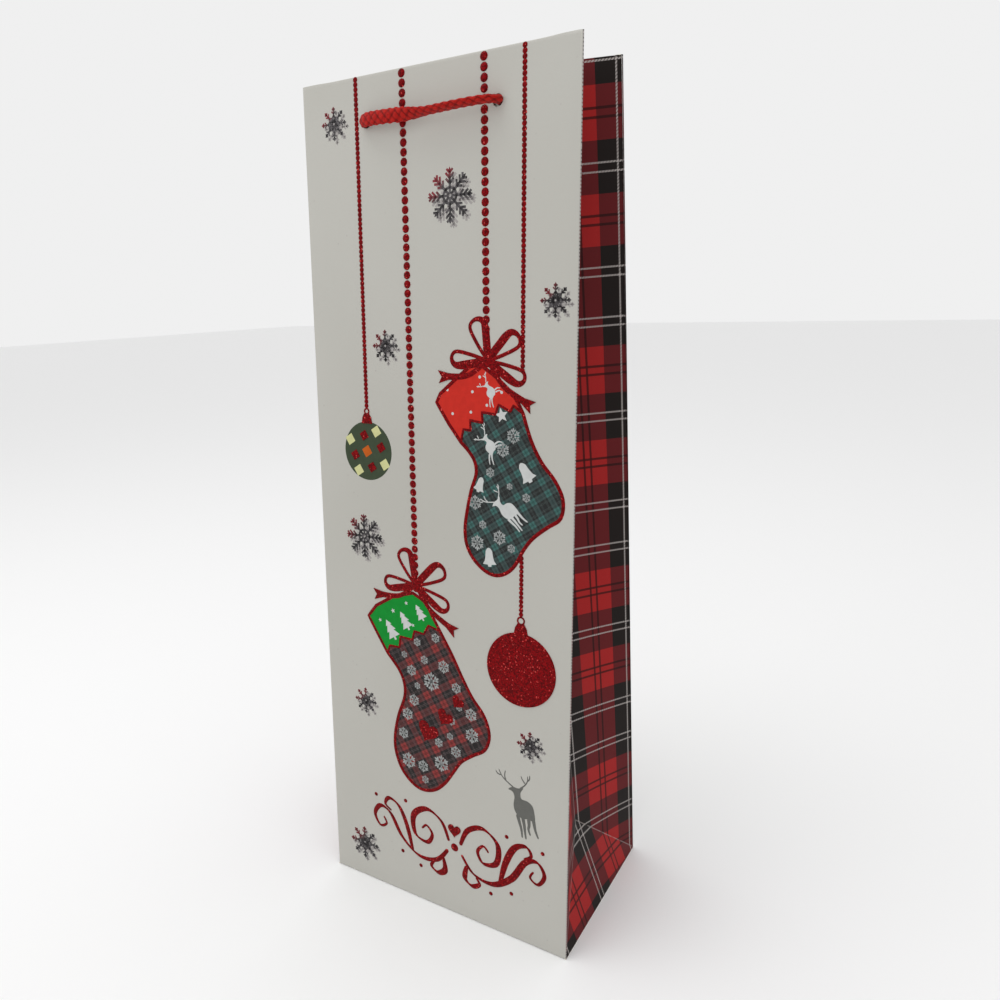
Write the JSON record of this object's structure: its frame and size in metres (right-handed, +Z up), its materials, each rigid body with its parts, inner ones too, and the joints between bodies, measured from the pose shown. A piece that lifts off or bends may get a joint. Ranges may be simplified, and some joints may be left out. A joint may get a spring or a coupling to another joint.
{
  "type": "gift bag",
  "caption": "Tall narrow paper bottle bag with folding gussets, turned-in reinforced mouth, block bottom and two cord handles.",
  "frame": {"origin": "centre of the base, on the surface the bag stands on", "axes": "+Z up along the bag, front panel faces -Y, gussets at +X and -X"},
  "size_m": [0.126, 0.0798, 0.3593],
  "materials": {
    "printed_card": "white card, satin laminate, printed with red, green and grey seasonal motifs and glitter",
    "tartan_card": "card printed with a red, black and white tartan, satin laminate",
    "white_card": "uncoated white reverse of the card",
    "grey_board": "plain grey chipboard",
    "red_cord": "bright red braided synthetic cord"
  },
  "bodies": {
    "base": {"base_front_flap": "white_card", "base_back_flap": "white_card", "base_left_flap": "tartan_card", "base_right_flap": "tartan_card", "base_board": "grey_board"},
    "front_panel": {"front_panel": "printed_card", "front_board": "grey_board", "front_hem": "white_card"},
    "back_panel": {"back_panel": "printed_card", "back_board": "grey_board", "back_hem": "white_card", "side_seam_flap": "white_card"},
    "right_gusset_triangle": {"right_gusset_triangle": "tartan_card"},
    "right_gusset_front_lower": {"right_gusset_front_lower": "tartan_card"},
    "right_gusset_front_upper": {"right_gusset_front_upper": "tartan_card", "right_gusset_front_hem": "white_card"},
    "right_gusset_back_lower": {"right_gusset_back_lower": "tartan_card"},
    "right_gusset_back_upper": {"right_gusset_back_upper": "tartan_card", "right_gusset_back_hem": "white_card"},
    "left_gusset_triangle": {"left_gusset_triangle": "tartan_card"},
    "left_gusset_front_lower": {"left_gusset_front_lower": "tartan_card"},
    "left_gusset_front_upper": {"left_gusset_front_upper": "tartan_card", "left_gusset_front_hem": "white_card"},
    "left_gusset_back_lower": {"left_gusset_back_lower": "tartan_card"},
    "left_gusset_back_upper": {"left_gusset_back_upper": "tartan_card", "left_gusset_back_hem": "white_card"},
    "front_cord_span": {"front_cord_span": "red_cord"},
    "front_cord_left_tail": {"front_cord_left_tail": "red_cord", "front_cord_left_knot": "red_cord"},
    "front_cord_right_tail": {"front_cord_right_tail": "red_cord", "front_cord_right_knot": "red_cord"},
    "back_cord_span": {"back_cord_span": "red_cord"},
    "back_cord_left_tail": {"back_cord_left_tail": "red_cord", "back_cord_left_knot": "red_cord"},
    "back_cord_right_tail": {"back_cord_right_tail": "red_cord", "back_cord_right_knot": "red_cord"}
  },
  "joints": [
    {"name": "front_panel_lean", "type": "hinge", "parent": "base", "child": "front_panel", "pos_m": [0, -0.04, 0], "axis": [-1, 0, 0], "range_deg": [-2, 1.3]},
    {"name": "back_panel_lean", "type": "hinge", "parent": "base", "child": "back_panel", "pos_m": [0, 0.04, 0], "axis": [1, 0, 0], "range_deg": [-2.01, 1.31]},
    {"name": "right_triangle_fold", "type": "hinge", "parent": "base", "child": "right_gusset_triangle", "pos_m": [0.063, 0, 0], "axis": [0, -1, 0], "range_deg": [-5.57, 3.63]},
    {"name": "right_front_edge_fold", "type": "hinge", "parent": "front_panel", "child": "right_gusset_front_lower", "pos_m": [0.063, -0.04, 0], "axis": [0, 0.061, 0.9981], "range_deg": [-5.57, 3.63]},
    {"name": "right_front_gusset_fold", "type": "hinge", "parent": "right_gusset_front_lower", "child": "right_gusset_front_upper", "pos_m": [0.063, -0.01802, 0.35933], "axis": [0.0421, -0.0559, 0.9976], "range_deg": [-14.58, 9.48]},
    {"name": "right_back_edge_fold", "type": "hinge", "parent": "back_panel", "child": "right_gusset_back_lower", "pos_m": [0.063, 0.04, 0], "axis": [0, 0.061, -0.9981], "range_deg": [-5.57, 3.63]},
    {"name": "right_back_gusset_fold", "type": "hinge", "parent": "right_gusset_back_lower", "child": "right_gusset_back_upper", "pos_m": [0.063, 0.01802, 0.35933], "axis": [-0.0421, -0.0559, -0.9976], "range_deg": [-14.58, 9.48]},
    {"name": "left_triangle_fold", "type": "hinge", "parent": "base", "child": "left_gusset_triangle", "pos_m": [-0.063, 0, 0], "axis": [0, 1, 0], "range_deg": [-5.57, 3.63]},
    {"name": "left_front_edge_fold", "type": "hinge", "parent": "front_panel", "child": "left_gusset_front_lower", "pos_m": [-0.063, -0.04, 0], "axis": [0, -0.061, -0.9981], "range_deg": [-5.57, 3.63]},
    {"name": "left_front_gusset_fold", "type": "hinge", "parent": "left_gusset_front_lower", "child": "left_gusset_front_upper", "pos_m": [-0.063, -0.01802, 0.35933], "axis": [0.0421, 0.0559, -0.9976], "range_deg": [-14.58, 9.48]},
    {"name": "left_back_edge_fold", "type": "hinge", "parent": "back_panel", "child": "left_gusset_back_lower", "pos_m": [-0.063, 0.04, 0], "axis": [0, -0.061, 0.9981], "range_deg": [-5.57, 3.63]},
    {"name": "left_back_gusset_fold", "type": "hinge", "parent": "left_gusset_back_lower", "child": "left_gusset_back_upper", "pos_m": [-0.063, 0.01802, 0.35933], "axis": [-0.0421, 0.0559, 0.9976], "range_deg": [-14.58, 9.48]},
    {"name": "front_handle_swing", "type": "hinge", "parent": "front_panel", "child": "front_cord_span", "pos_m": [0, -0.02129, 0.34199], "axis": [1, 0, 0], "range_deg": [-60, 60]},
    {"name": "front_left_tail_swing", "type": "hinge", "parent": "front_panel", "child": "front_cord_left_tail", "pos_m": [-0.03, -0.0143, 0.34157], "axis": [1, 0, 0], "range_deg": [-3, 1.5]},
    {"name": "front_right_tail_swing", "type": "hinge", "parent": "front_panel", "child": "front_cord_right_tail", "pos_m": [0.03, -0.0143, 0.34157], "axis": [1, 0, 0], "range_deg": [-3, 1.5]},
    {"name": "back_handle_swing", "type": "hinge", "parent": "back_panel", "child": "back_cord_span", "pos_m": [0, 0.02129, 0.34199], "axis": [-1, 0, 0], "range_deg": [-60, 60]},
    {"name": "back_left_tail_swing", "type": "hinge", "parent": "back_panel", "child": "back_cord_left_tail", "pos_m": [-0.03, 0.0143, 0.34157], "axis": [-1, 0, 0], "range_deg": [-3, 1.5]},
    {"name": "back_right_tail_swing", "type": "hinge", "parent": "back_panel", "child": "back_cord_right_tail", "pos_m": [0.03, 0.0143, 0.34157], "axis": [-1, 0, 0], "range_deg": [-3, 1.5]}
  ],
  "couplings": [
    {"joint": "back_panel_lean", "follows": "front_panel_lean", "ratio": 1},
    {"joint": "right_triangle_fold", "follows": "front_panel_lean", "ratio": 2.7783},
    {"joint": "right_front_edge_fold", "follows": "front_panel_lean", "ratio": 2.7783},
    {"joint": "right_front_gusset_fold", "follows": "front_panel_lean", "ratio": 7.2833},
    {"joint": "right_back_edge_fold", "follows": "front_panel_lean", "ratio": 2.7783},
    {"joint": "right_back_gusset_fold", "follows": "front_panel_lean", "ratio": 7.2833},
    {"joint": "left_triangle_fold", "follows": "front_panel_lean", "ratio": 2.7783},
    {"joint": "left_front_edge_fold", "follows": "front_panel_lean", "ratio": 2.7783},
    {"joint": "left_front_gusset_fold", "follows": "front_panel_lean", "ratio": 7.2833},
    {"joint": "left_back_edge_fold", "follows": "front_panel_lean", "ratio": 2.7783},
    {"joint": "left_back_gusset_fold", "follows": "front_panel_lean", "ratio": 7.2833}
  ]
}
